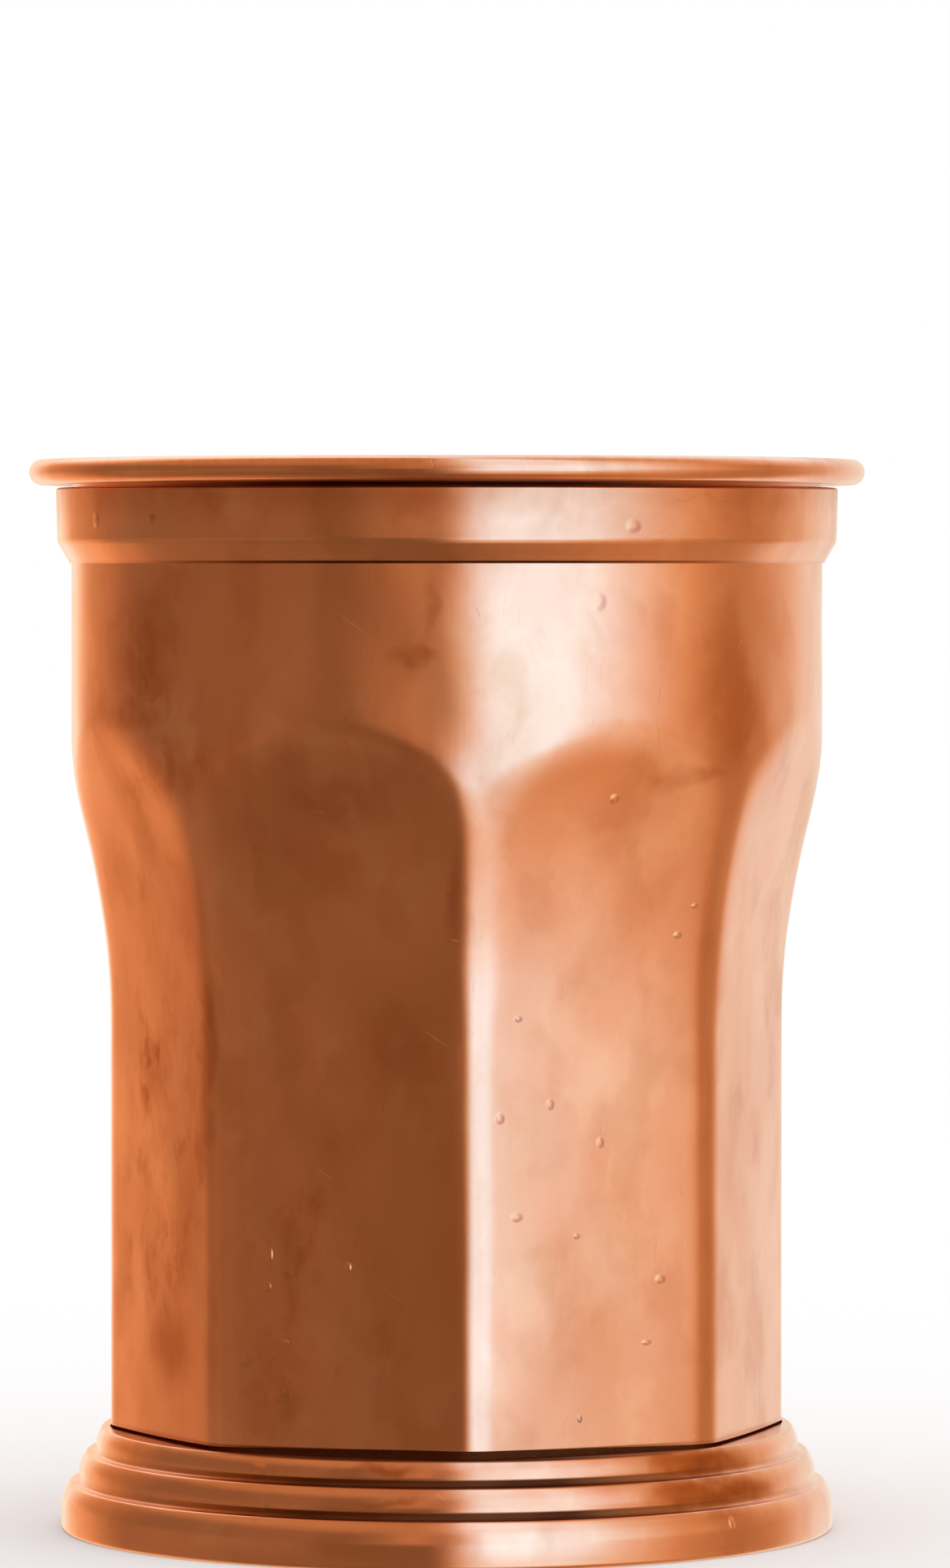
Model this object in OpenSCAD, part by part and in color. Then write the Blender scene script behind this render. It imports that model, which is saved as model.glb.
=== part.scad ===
// Fluted copper julep cup: a sheet body, round above and eight-sided below,
// with a wired lip, a moulded collar and a stepped, spun foot.
// Millimetres, +Z up. The origin is the middle of the face that the cup stands on.
// The ridges between the flats point along X and Y and halfway between them.

/* [Body] */
// Height from the table to the top of the rim
cup_h = 113.9; // [105:0.1:130]
// Outside diameter of the round upper body
body_d = 80; // [76:0.1:84]
// Thickness of the copper sheet
sheet_t = 0.8; // [0.5:0.05:1.1]

/* [Flutes] */
// Number of flats round the lower body
flutes = 8; // [6:2:10]
// How far the ridges between the flats are drawn in from the round body
ridge_draw = 4.1; // [3.8:0.05:5.2]
// Depth of each flat below the ridges
flute_depth = 2.4; // [1.5:0.05:2.7]
// Height of the straight lower part above the foot
straight_h = 41.2; // [35:0.1:43]
// Radius of the arc by which each flat runs out into the round body
flute_r = 82.2; // [78:0.1:88]
// Radius of the hollow curve by which each ridge leaves the straight part
hollow_r = 88; // [82:1:94]

/* [Rim] */
// How far the rolled rim stands out from the round body
rim_overhang = 4.5; // [4:0.1:6]
// Diameter of the wire inside the roll
wire_d = 1; // [0.9:0.05:1.8]
// Radius under the lip where it turns outwards
lip_r = 1.6; // [1:0.05:1.7]

/* [Collar] */
// Height of the collar band
collar_h = 8; // [5:0.1:10]
// Thickness of the collar band
collar_t = 1.55; // [1:0.05:1.6]
// Angle between the slope at the collar's lower edge and the upright
collar_slope = 30; // [24:1:45]
// Radius by which that slope turns upright
collar_edge_r = 1.4; // [0.8:0.05:1.6]
// Thickness that the collar keeps at its lower edge
collar_lip = 0.2; // [0.1:0.05:0.4]

/* [Foot] */
// Width of the top step, outwards from the solder round the body
top_step_w = 1.2; // [1:0.05:1.5]
// Height of the top step
top_step_h = 3.2; // [3:0.1:4]
// Width of the middle step
middle_step_w = 1.75; // [1.4:0.05:1.75]
// Height of the middle step
middle_step_h = 3.2; // [3.2:0.1:4]
// Width of the base band's step
base_step_w = 1.9; // [1.5:0.05:2]
// Height of the base band
base_band_h = 5; // [5:0.1:7]
// Width of the flat crease between one step and the next
crease_w = 0.1; // [0.05:0.05:0.2]
// Upright part of the two upper steps
step_land = 1.5; // [1:0.05:1.5]
// Upright part of the base band, above its rounded bottom edge
band_land = 1.8; // [1:0.05:1.8]
// Outside radius of the base band's bottom edge
base_edge_r = 0.9; // [0.85:0.05:1.2]
// Width of the flange that is turned in under the foot
base_flange_w = 5; // [3:0.1:8]
// Width of the foot's top flange, under the cup's floor
top_flange_w = 9; // [6:0.1:14]
// Thickness of the cup's floor
floor_t = 1; // [0.6:0.05:1.4]
// Thickness of the disc that closes the foot
base_disc_t = 0.8; // [0.5:0.05:1.2]

/* [Solder] */
// Width and height of the solder fillet round the foot of the body
foot_fillet = 0.45; // [0.2:0.05:0.6]
// Width and height of the solder fillet round the cup's floor
floor_fillet = 1; // [0.5:0.05:1.5]

/* [Hidden] */
$fn = 180;
// Overrun of a cutting shape past what it cuts
overrun = 1;
// Clearance between the wire and the inside of the roll
wire_gap = 0.05;
// Gap between the collar band and the roll above it
collar_gap = 0.3;
// Overlap of the swell's ball and hollow arc, so that the two cross in a clear line
swell_overlap = 0.03;
// Width of the land that a solder fillet keeps at its thin edge
solder_land = 0.1;

body_r = body_d / 2;
ridge_r = body_r - ridge_draw;
flat_r = ridge_r - flute_depth;
rim_r = body_r + rim_overhang;

foot_h = base_band_h + middle_step_h + top_step_h;

// Swell of a ridge: a hollow arc that turns, at the angle swell_turn, into a ball
// of the round body's own radius
swell_turn = acos(1 - (body_r - ridge_r) / (hollow_r + body_r));
straight_z = foot_h + straight_h;
swell_z = straight_z + (hollow_r + body_r) * sin(swell_turn) - swell_overlap;

// Roll of the lip round its wire
curl_r = wire_d / 2 + wire_gap + sheet_t;
curl_x = rim_r - curl_r;
curl_z = cup_h - curl_r;
lip_x = body_r + lip_r;
lip_z = cup_h - sheet_t - lip_r;
collar_z = cup_h - 2 * curl_r - collar_gap - collar_h;

// The fluted part of the body ends halfway between the swell and the collar
fluted_top = (swell_z + collar_z) / 2;

// Steps of the foot, from the top down: radius of the upright part, radius and
// height where its rounding starts, and height where that turns upright
seat_r = ridge_r + foot_fillet;
top_r = seat_r + top_step_w;
middle_r = top_r + middle_step_w;
foot_r = middle_r + base_step_w;
middle_z = base_band_h + middle_step_h;
top_step = [top_r, seat_r, foot_h, middle_z + step_land];
middle_step = [middle_r, top_r + crease_w, middle_z, base_band_h + step_land];
base_step = [foot_r, middle_r + crease_w, base_band_h, base_edge_r + band_land];

// Radius of the arc that rises a height over a width and ends upright
function arc_radius(w, h) = (w * w + h * h) / (2 * w);

// Half section of the round form, drawn in from its outside by inset
module swell_section(inset, low, high) {
    turn_z = straight_z + (hollow_r + inset) * sin(swell_turn);
    // Straight ridge
    translate([0, low]) square([ridge_r - inset, straight_z - low]);
    // Hollow arc, and the ball above it
    difference() {
        union() {
            translate([0, straight_z]) square([body_r, turn_z - straight_z]);
            intersection() {
                translate([0, turn_z]) square([body_r, swell_z - turn_z + overrun]);
                translate([0, swell_z]) circle(body_r - inset);
            }
        }
        translate([ridge_r + hollow_r, straight_z]) circle(hollow_r + inset);
    }
    // Round body
    translate([0, swell_z]) square([body_r - inset, high - swell_z]);
}

// Section across one pair of opposite flats: straight, then flaring outwards
module flat_pair_section(inset, low, high) {
    translate([inset - flat_r, low]) square([2 * (flat_r - inset), straight_z - low]);
    difference() {
        translate([-rim_r, straight_z]) square([2 * rim_r, high - straight_z]);
        for (side = [-1, 1])
            translate([side * (flat_r + flute_r), straight_z]) circle(flute_r + inset);
    }
}

// What lies within all pairs of flats whose section is the child
module within_flats() {
    intersection_for(i = [0 : flutes / 2 - 1])
        rotate([0, 0, (i + 0.5) * 360 / flutes])
            rotate([90, 0, 0])
                linear_extrude(height = 4 * rim_r, center = true) children();
}

// Solid form of the fluted body, drawn in by inset
module fluted_form(inset, low, high) {
    intersection() {
        rotate_extrude() swell_section(inset, low, high);
        within_flats() flat_pair_section(inset, low, high);
    }
}

// Prism of the straight lower body, drawn in by inset and out again by spread,
// which is the change of its half width from the bottom to the top
module ridge_prism(inset, spread, low, h) {
    bottom = ridge_r - inset;
    flat_bottom = flat_r - inset;
    intersection() {
        translate([0, 0, low]) cylinder(h = h, r1 = bottom, r2 = bottom + spread);
        within_flats()
            polygon([
                [-flat_bottom, low],
                [flat_bottom, low],
                [flat_bottom + spread, low + h],
                [-flat_bottom - spread, low + h]
            ]);
    }
}

// Half section of the lip: it turns outwards and curls three quarters round the wire
module lip_section() {
    translate([body_r - sheet_t, fluted_top]) square([sheet_t, lip_z - fluted_top]);
    intersection() {
        translate([body_r - sheet_t, lip_z]) square([lip_x - body_r + sheet_t, cup_h - lip_z]);
        difference() {
            translate([lip_x, lip_z]) circle(lip_r + sheet_t);
            translate([lip_x, lip_z]) circle(lip_r);
        }
    }
    translate([lip_x, cup_h - sheet_t]) square([curl_x - lip_x, sheet_t]);
    translate([curl_x, curl_z]) difference() {
        circle(curl_r);
        circle(curl_r - sheet_t);
        translate([-curl_r - overrun, 0]) square([curl_r + overrun, curl_r + overrun]);
    }
}

// Cup wall: eight flats that end in arches, a round top and the rolled lip
module body_shell() {
    color("#c87a50") {
        difference() {
            fluted_form(0, foot_h, fluted_top);
            fluted_form(sheet_t, foot_h - overrun, fluted_top + overrun);
        }
        rotate_extrude() lip_section();
    }
}

// Wire that stiffens the rim, inside the roll
module rim_wire() {
    color("#a8572f")
        rotate_extrude()
            translate([curl_x, curl_z]) circle(d = wire_d);
}

// Half section of one step of the foot, drawn in by inset
module step_section(step, inset) {
    arc_r = arc_radius(step[0] - step[1], step[2] - step[3]);
    centre_x = step[0] - arc_r;
    square([step[0] - inset, step[3]]);
    intersection() {
        translate([0, step[3]]) square([step[0], step[2] - inset - step[3]]);
        union() {
            translate([centre_x, step[3]]) circle(arc_r - inset);
            square([centre_x, step[2]]);
        }
    }
}

// Half section of the foot's outside, drawn in by inset, with a rounded bottom edge
module foot_section(inset) {
    difference() {
        for (step = [top_step, middle_step, base_step]) step_section(step, inset);
        square([rim_r, base_edge_r]);
    }
    edge_x = foot_r - base_edge_r;
    translate([0, inset]) square([edge_x, base_edge_r - inset]);
    intersection() {
        translate([edge_x, base_edge_r]) circle(base_edge_r - inset);
        translate([edge_x, 0]) square([base_edge_r, base_edge_r]);
    }
}

// Spun foot: a stepped shell with a seat for the body and an edge turned in below
module foot_ring() {
    top_hole_r = flat_r - top_flange_w;
    base_hole_r = foot_r - base_edge_r - base_flange_w;
    color("#b96a42")
        rotate_extrude()
            difference() {
                foot_section(0);
                foot_section(sheet_t);
                translate([0, foot_h / 2]) square([top_hole_r, foot_h]);
                translate([0, -overrun]) square([base_hole_r, foot_h / 2 + 2 * overrun]);
            }
}

// Disc that closes the foot from inside, on its turned-in flange
module base_disc() {
    color("#b06a48")
        translate([0, 0, sheet_t])
            cylinder(h = base_disc_t, r = foot_r - base_edge_r);
}

// Floor let into the bottom of the body, on the foot's top flange
module cup_floor() {
    color("#b96f4c") ridge_prism(sheet_t, 0, foot_h, floor_t);
}

// Solder fillet between the floor and the inside of the body
module floor_solder() {
    floor_z = foot_h + floor_t;
    color("#9a8f86")
        difference() {
            ridge_prism(sheet_t, 0, floor_z, floor_fillet);
            ridge_prism(sheet_t + floor_fillet, floor_fillet - solder_land, floor_z, floor_fillet);
        }
}

// Solder fillet between the outside of the body and its seat on the foot
module foot_solder() {
    color("#7a4a30")
        difference() {
            ridge_prism(-foot_fillet, solder_land - foot_fillet, foot_h, foot_fillet);
            ridge_prism(0, 0, foot_h, foot_fillet);
        }
}

// Half section of the collar: an upright band whose lower edge slopes in to the body
module collar_section() {
    slope_h = (collar_t - collar_lip - collar_edge_r * (1 - cos(collar_slope)))
        / tan(collar_slope);
    // Centre of the rounding, and the point where the slope runs into it
    turn_x = body_r + collar_t - collar_edge_r;
    turn_z = collar_z + slope_h + collar_edge_r * sin(collar_slope);
    slope_x = turn_x + collar_edge_r * cos(collar_slope);
    intersection() {
        translate([body_r, collar_z]) square([collar_t + overrun, collar_h]);
        union() {
            translate([body_r, turn_z]) square([collar_t, collar_h]);
            translate([turn_x, turn_z]) circle(collar_edge_r);
            polygon([
                [body_r, collar_z],
                [body_r + collar_lip, collar_z],
                [slope_x, collar_z + slope_h],
                [slope_x, turn_z],
                [body_r, turn_z]
            ]);
        }
    }
}

// Moulded band round the body, under the rim
module collar_band() {
    color("#c87a50") rotate_extrude() collar_section();
}

body_shell();
rim_wire();
collar_band();
cup_floor();
floor_solder();
foot_solder();
foot_ring();
base_disc();
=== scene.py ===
"""Copper julep cup on a pale floor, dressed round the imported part.

The scene is in metres, in the part's own frame. Profiles, marks and the form of
the wall are written in millimetres and scaled by MM.
"""

import math

import bpy
import numpy as np
from mathutils import Euler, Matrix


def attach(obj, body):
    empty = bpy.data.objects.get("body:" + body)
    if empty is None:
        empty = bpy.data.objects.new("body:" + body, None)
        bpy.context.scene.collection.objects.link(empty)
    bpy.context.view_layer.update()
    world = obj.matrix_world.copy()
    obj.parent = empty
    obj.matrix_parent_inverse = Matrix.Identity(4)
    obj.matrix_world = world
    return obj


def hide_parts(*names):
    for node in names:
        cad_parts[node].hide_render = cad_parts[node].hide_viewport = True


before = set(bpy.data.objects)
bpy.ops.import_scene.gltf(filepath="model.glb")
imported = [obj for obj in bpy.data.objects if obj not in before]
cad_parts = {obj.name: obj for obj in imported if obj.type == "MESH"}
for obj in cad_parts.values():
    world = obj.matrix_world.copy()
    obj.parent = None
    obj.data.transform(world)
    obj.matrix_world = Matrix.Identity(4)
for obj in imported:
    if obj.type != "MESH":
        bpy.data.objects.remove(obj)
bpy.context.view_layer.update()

MM = 0.001


def put(name, data):
    """A new object of some data, in the scene."""
    made = bpy.data.objects.new(name, data)
    bpy.context.scene.collection.objects.link(made)
    return made


# Camera
#
# The photograph's frame is 1170 x 1931 pixels. Its scale at the cup's axis and
# the height of the eye line give the distance, the lens and the tilt.
EYE_HEIGHT = 0.1032
EYE_DISTANCE = 0.8820
CAMERA_AZIMUTH = math.radians(-4)
CAMERA_YAW = math.radians(0.1942)
CAMERA_TILT = math.radians(1.5505)
LENS = 189.75
SENSOR_WIDTH = 36
CLIP_START, CLIP_END = 0.01, 50


def make_camera():
    data = bpy.data.cameras.new("camera")
    data.sensor_width = SENSOR_WIDTH
    data.lens = LENS
    data.clip_start = CLIP_START
    data.clip_end = CLIP_END
    camera = put("camera", data)
    camera.location = (
        EYE_DISTANCE * math.sin(CAMERA_AZIMUTH),
        -EYE_DISTANCE * math.cos(CAMERA_AZIMUTH),
        EYE_HEIGHT,
    )
    camera.rotation_euler = Euler(
        (math.pi / 2 - CAMERA_TILT, 0, CAMERA_AZIMUTH - CAMERA_YAW), "XYZ"
    )
    return camera


bpy.context.scene.camera = make_camera()
bpy.context.scene.view_settings.view_transform = "Standard"


# The cup's form
#
# Radii of the round body, of the ridges and of the flats in the straight part
BODY_R = 40.0
RIDGE_R = 35.9
FLAT_R = 33.55
FLUTES = 8
FLAT_CROWN = 0.45
SHEET = 0.8
# Height of the flange inside the foot, and of the foot's top round the wall
FOOT_H = 11.4
SEAT_Z = 10.9
# Above STRAIGHT_Z the ridges curve out by HOLLOW_R and the flats by FLUTE_R
STRAIGHT_Z = 52.6
HOLLOW_R = 88.0
FLUTE_R = 90.5
CUP_H = 113.9
RIM_R = 44.5
LIP_R = 1.6
WIRE_R = 0.55

SWELL_TURN = math.acos(1 - (BODY_R - RIDGE_R) / (HOLLOW_R + BODY_R))
SWELL_Z = STRAIGHT_Z + (HOLLOW_R + BODY_R) * math.sin(SWELL_TURN)
SWELL_DEPTH = 30
CURL_R = WIRE_R + SHEET
CURL_X = RIM_R - CURL_R
CURL_Z = CUP_H - CURL_R
LIP_X = BODY_R + LIP_R
LIP_Z = CUP_H - SHEET - LIP_R

# Rounding of the ridges, and of the arches where the flats meet the round body
RIDGE_ROUND = 1.6
ARCH_ROUND = 0.9
# How far the round form stands off the ridges below the arches, as parts of
# ARCH_ROUND. Each part is whole up to the first height and gone at the second.
STAND_OFF = [(0.75, 48, 62), (0.25, 66, 80)]
# No flat is worked out further round than this, in radians from its middle
FLAT_REACH = 1.2

# Waves in the sheet: how many, the depth of one, the least and most of them
# round the cup, and their turn in radians for each millimetre up
RIPPLES = 14
RIPPLE = 0.012
RIPPLE_SEED = 11
RIPPLES_ROUND = (5, 24)
RIPPLE_RISE = (0.06, 0.42)
# The waves come in over the first heights and go out over the second. Up to the
# third heights the ridges, which are stiff, hold most of them back.
RIPPLE_IN = (FOOT_H + 0.6, 17)
RIPPLE_OUT = (95, 101)
RIPPLE_HELD = (70, 84)
RIPPLE_HOLD = 0.8


def smooth_step(low, high, x):
    t = np.clip((x - low) / (high - low), 0, 1)
    return t * t * (3 - 2 * t)


def smooth_min(a, b, k):
    """The smaller of a and b, with the crossing rounded off over a width k."""
    h = np.clip(0.5 + 0.5 * (b - a) / k, 0, 1)
    return b + (a - b) * h - k * h * (1 - h)


def round_radius(z, inset):
    """Radius of the round form at height z, drawn in by inset."""
    hollow = HOLLOW_R + inset
    turn_z = STRAIGHT_Z + hollow * math.sin(SWELL_TURN)
    rise = np.clip(z - STRAIGHT_Z, 0, hollow)
    curve = RIDGE_R + HOLLOW_R - np.sqrt(hollow**2 - rise**2)
    ball = np.sqrt((BODY_R - inset) ** 2 - np.clip(SWELL_Z - z, 0, SWELL_DEPTH) ** 2)
    return np.where(z < turn_z, curve, ball)


def flat_distance(z, inset):
    """Distance of a flat from the axis at height z, drawn in by inset."""
    flute = FLUTE_R + inset
    rise = np.clip(z - STRAIGHT_Z, 0, flute - 1)
    return FLAT_R + FLUTE_R - np.sqrt(flute**2 - rise**2)


def flat_radius(turn, flat):
    """Radius of a slightly crowned flat, at an angle turn from its middle."""
    edge = math.tan(math.pi / FLUTES)
    crown = FLAT_CROWN * np.maximum(1 - (np.tan(turn) / edge) ** 2, -2)
    return (flat + crown) / np.cos(turn)


def wall_radius(turn, z, inset):
    """Radius of the fluted wall at an angle turn (radians) and height z."""
    step = 2 * math.pi / FLUTES
    within = np.mod(turn, step)
    flat = flat_distance(z, inset)
    own = flat_radius(within - step / 2, flat)
    left = flat_radius(np.minimum(within + step / 2, FLAT_REACH), flat)
    right = flat_radius(np.minimum(step * 1.5 - within, FLAT_REACH), flat)
    flats = smooth_min(own, np.minimum(left, right), RIDGE_ROUND)
    spare = sum(part * (1 - smooth_step(whole, gone, z)) for part, whole, gone in STAND_OFF)
    limit = round_radius(z, inset) + ARCH_ROUND * spare
    return smooth_min(limit, flats, ARCH_ROUND) + ripple(turn, z)


def ripple(turn, z):
    """Slight unevenness of sheet drawn and planished by hand."""
    draw = np.random.RandomState(RIPPLE_SEED)
    height = 0
    for _ in range(RIPPLES):
        waves = draw.randint(*RIPPLES_ROUND) * draw.choice([-1, 1])
        upward = draw.uniform(*RIPPLE_RISE)
        height = height + np.sin(waves * turn + upward * z + draw.uniform(0, 6.28))
    held = smooth_step(*RIPPLE_IN, z) * (1 - smooth_step(*RIPPLE_OUT, z))
    fold = np.cos(turn * FLUTES / 2) ** 2 * (1 - smooth_step(*RIPPLE_HELD, z))
    return RIPPLE * height * held * (1 - RIPPLE_HOLD * fold)


# Turns of the mesh's columns from a ridge to the middle of a flat, in degrees:
# close together at the ridge, wider on the flat
HALF_SECTOR = [0, 0.45, 0.9, 1.35, 1.8, 2.25, 2.8, 3.5, 4.4, 5.5, 7, 8.6, 10.3, 12,
               13.7, 15.4, 17.1, 18.9, 20.7]


def column_turns():
    sector = [-a for a in HALF_SECTOR[:0:-1]] + HALF_SECTOR + [180 / FLUTES]
    return np.radians(sorted(
        (360 / FLUTES * i + a) % 360 for i in range(FLUTES) for a in sector
    ))


TURNS = column_turns()


def ring_mesh(name, radii, heights, sharp):
    """A closed mesh of rings. radii and heights have one row for each ring and one
    column for each turn. Edges over sharp degrees aren't smoothed."""
    rows, columns = radii.shape
    x = radii * np.cos(TURNS) * MM
    y = radii * np.sin(TURNS) * MM
    points = np.stack([x, y, heights * MM], axis=-1).reshape(-1, 3)
    faces = []
    for i in range(rows):
        a, b = i * columns, ((i + 1) % rows) * columns
        for j in range(columns):
            k = (j + 1) % columns
            faces.append((a + j, a + k, b + k, b + j))
    mesh = bpy.data.meshes.new(name)
    mesh.from_pydata(points.tolist(), [], faces)
    mesh.validate()
    mesh.polygons.foreach_set("use_smooth", [True] * len(mesh.polygons))
    mesh.set_sharp_from_angle(angle=math.radians(sharp))
    return put(name, mesh)


def revolve(name, profile, sharp):
    """A ring mesh whose every column is the same (radius, height) outline."""
    outline = np.array(profile, float)
    r, z = outline.T
    if np.sum(r * np.roll(z, -1) - np.roll(r, -1) * z) < 0:
        outline = outline[::-1]
    radii = np.repeat(outline[:, :1], len(TURNS), axis=1)
    heights = np.repeat(outline[:, 1:], len(TURNS), axis=1)
    return ring_mesh(name, radii, heights, sharp)


def arc(cx, cz, r, start, end, count):
    """Points on an arc, angles in degrees from the outward direction."""
    return [
        (cx + r * math.cos(math.radians(a)), cz + r * math.sin(math.radians(a)))
        for a in np.linspace(start, end, count)
    ]


# Heights between which the arches lie, and the wall's rows of points: from, to
# and how many
ARCH_LOW, ARCH_HIGH = 76, 88
WALL_ROWS = [
    (SEAT_Z, STRAIGHT_Z, 20), (STRAIGHT_Z, ARCH_LOW, 36), (ARCH_LOW, ARCH_HIGH, 37),
    (ARCH_HIGH, LIP_Z, 14),
]


def make_wall():
    """The cup's sheet wall: the fluted outside, the lip rolled round its wire and
    the inside. Also how many rows the outside and the lip have."""
    low, middle, arches, top = (np.linspace(*span) for span in WALL_ROWS)
    middle, arches, top = middle[1:], arches[1:], top[1:]
    outside = np.concatenate([low, middle, arches, top])
    inside = np.concatenate([low[::2], middle[::2], arches[::2], top])[::-1]
    lip = arc(LIP_X, LIP_Z, LIP_R, 180, 90, 10)[1:]
    lip += arc(CURL_X, CURL_Z, WIRE_R, 90, -180, 28)
    lip += arc(CURL_X, CURL_Z, CURL_R, -180, 90, 40)
    lip += arc(LIP_X, LIP_Z, LIP_R + SHEET, 90, 180, 12)[:-1]
    turns = TURNS[None, :]
    rows = [wall_radius(turns, z, 0) for z in outside]
    rows += [np.full((1, len(TURNS)), r) for r, _ in lip]
    rows += [wall_radius(turns, z, SHEET) for z in inside]
    heights = np.concatenate([outside, [z for _, z in lip], inside])
    heights = np.repeat(heights[:, None], len(TURNS), axis=1)
    wall = ring_mesh("cup_wall", np.concatenate(rows), heights, sharp=50)
    return wall, len(outside), len(lip)


# The collar: its ends, its outside near the lower and the upper end, the edges'
# rounding, the slope of its foot in degrees and the small step there
COLLAR_LOW = 102.9
COLLAR_TOP = 110.9
COLLAR_LOW_R = BODY_R + 1.52
COLLAR_TOP_R = BODY_R + 1.66
COLLAR_EDGE_R = 1.4
COLLAR_TOP_EDGE_R = 0.35
COLLAR_SLOPE = 30
COLLAR_LIP = 0.2


def make_collar():
    """The moulded band under the rim, whose lower edge slopes in to the body."""
    slope = math.radians(COLLAR_SLOPE)
    foot_r = BODY_R + COLLAR_LIP
    turn_r = COLLAR_LOW_R - COLLAR_EDGE_R
    slope_r = turn_r + COLLAR_EDGE_R * math.cos(slope)
    slope_z = COLLAR_LOW + (slope_r - foot_r) / math.tan(slope)
    turn_z = slope_z + COLLAR_EDGE_R * math.sin(slope)
    profile = [(BODY_R, COLLAR_LOW), (foot_r, COLLAR_LOW)]
    profile += [
        (foot_r + t * (slope_r - foot_r), COLLAR_LOW + t * (slope_z - COLLAR_LOW))
        for t in (0.1, 0.4, 0.7)
    ]
    profile += arc(turn_r, turn_z, COLLAR_EDGE_R, -COLLAR_SLOPE, 0, 10)
    profile += [(COLLAR_LOW_R + 0.05, 107.5), (COLLAR_TOP_R - 0.02, 110.0)]
    profile += arc(COLLAR_TOP_R - COLLAR_TOP_EDGE_R, COLLAR_TOP - COLLAR_TOP_EDGE_R,
                   COLLAR_TOP_EDGE_R, 0, 90, 7)
    profile += [(BODY_R, z) for z in np.linspace(COLLAR_TOP, COLLAR_LOW, 5)[:-1]]
    return revolve("collar", profile, sharp=40)


# The foot's steps: the tight rounding of a shoulder, how many degrees the face
# below it leans when it starts, and the hollow where the face runs into a tread
SHOULDER_R = 0.45
SHOULDER_LEAN = 35
HOLLOW_CORNER_R = 0.5
# For the two steps and the base band, the side's radius, the height where the
# face comes upright, the top, and the tread below
FOOT_STEPS = [(37.5, 8.85, SEAT_Z, 8.2), (39.3, 5.9, 8.2, 5.0), (41.2, 2.3, 5.0, None)]
BASE_EDGE_R = 0.5
# The flange on top, and the inside from the turned-in edge up
FOOT_TOP = [(24.5, FOOT_H), (32.3, FOOT_H), (32.8, SEAT_Z)]
FOOT_INSIDE = [
    (38, 0), (35.3, 0), (35.3, SHEET), (40.3, SHEET), (40.4, 0.9), (40.4, 3.2),
    (39.9, 4.2), (38.5, 4.2), (38.5, 6.2), (38.1, 7.4), (36.7, 7.4), (36.7, 9.2),
    (36.2, 10.1), (32.6, 10.1), (32.2, 10.6), (24.5, 10.6),
]


def foot_step(side_r, side_z, top):
    """One step of the foot, from its inner top edge out and down to its side."""
    lean = math.radians(SHOULDER_LEAN)
    turn_z = top - SHOULDER_R * (1 - math.sin(lean))
    face_r = (turn_z - side_z) / math.sin(lean)
    turn_r = side_r - face_r * (1 - math.cos(lean))
    shoulder = arc(turn_r - SHOULDER_R * math.cos(lean),
                   turn_z - SHOULDER_R * math.sin(lean), SHOULDER_R, 90, SHOULDER_LEAN, 6)
    return shoulder + arc(side_r - face_r, side_z, face_r, SHOULDER_LEAN, 0, 8)[1:]


def hollow_corner(side_r, tread):
    """The rounded corner between a step's side and the tread below it."""
    return arc(side_r + HOLLOW_CORNER_R, tread + HOLLOW_CORNER_R, HOLLOW_CORNER_R,
               180, 270, 7)


def make_foot():
    """The spun foot: two steps, the base band and the edge turned in below."""
    profile = list(FOOT_TOP)
    for side_r, side_z, top, tread in FOOT_STEPS:
        profile += foot_step(side_r, side_z, top)
        if tread is not None:
            profile += hollow_corner(side_r, tread)
    profile += arc(side_r - BASE_EDGE_R, BASE_EDGE_R, BASE_EDGE_R, 0, -90, 8)
    return revolve("foot", profile + FOOT_INSIDE, sharp=28)


# Outline of the fillet where it is full, as distances out from the wall and up
# from the foot. It is fullest at one bearing and the opposite one, and elsewhere
# shrinks to the least share.
FILLET = [(0.42, 0.0), (0.34, 0.1), (0.2, 0.35), (0.09, 0.6), (0.02, 0.85),
          (-0.3, 0.85), (-0.3, 0.0)]
FILLET_LEAST = 0.28
FILLET_BEARING = math.radians(-94)


def make_fillet():
    """Solder run round the wall's lower edge, where it stands on the foot."""
    full = FILLET_LEAST + (1 - FILLET_LEAST) * np.cos(TURNS - FILLET_BEARING) ** 4
    radii, heights = [], []
    for out, rise in FILLET:
        height = SEAT_Z + rise * full
        radii.append(wall_radius(TURNS, height, 0) + (out * full if out > 0 else out))
        heights.append(height)
    return ring_mesh("foot_fillet", np.array(radii), np.array(heights), sharp=50)


wall, outside_rows, lip_rows = make_wall()
collar = make_collar()
foot = make_foot()
fillet = make_fillet()
for piece, node, slot in (
    (wall, "body_shell", "body_copper"),
    (collar, "collar_band", "collar_copper"),
    (foot, "foot_ring", "foot_copper"),
    (fillet, "foot_solder", "seam_solder"),
):
    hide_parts(node)
    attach(piece, "root")


# Materials: nodes
def node_tree(name):
    material = bpy.data.materials.new(name)
    material.use_nodes = True
    material.node_tree.nodes.clear()
    return material, material.node_tree


def add(tree, kind, inputs=None, **settings):
    """A node with its settings and its input values or links."""
    made = tree.nodes.new(kind)
    for key, value in settings.items():
        setattr(made, key, value)
    for key, value in (inputs or {}).items():
        if isinstance(value, bpy.types.NodeSocket):
            tree.links.new(value, made.inputs[key])
        else:
            made.inputs[key].default_value = value
    return made


def ramp(tree, factor, stops):
    made = add(tree, "ShaderNodeValToRGB", {"Fac": factor})
    elements = made.color_ramp.elements
    elements.remove(elements[1])
    for i, (place, colour) in enumerate(stops):
        element = elements[0] if i == 0 else elements.new(place)
        element.position = place
        element.color = (*colour, 1)
    return made.outputs["Color"]


def mix(tree, factor, a, b):
    """Colour a where factor is 0, and b where it is 1."""
    a, b = (value if isinstance(value, bpy.types.NodeSocket) else (*value, 1)
            for value in (a, b))
    return add(tree, "ShaderNodeMix", {0: factor, 6: a, 7: b}, data_type="RGBA").outputs[2]


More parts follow.
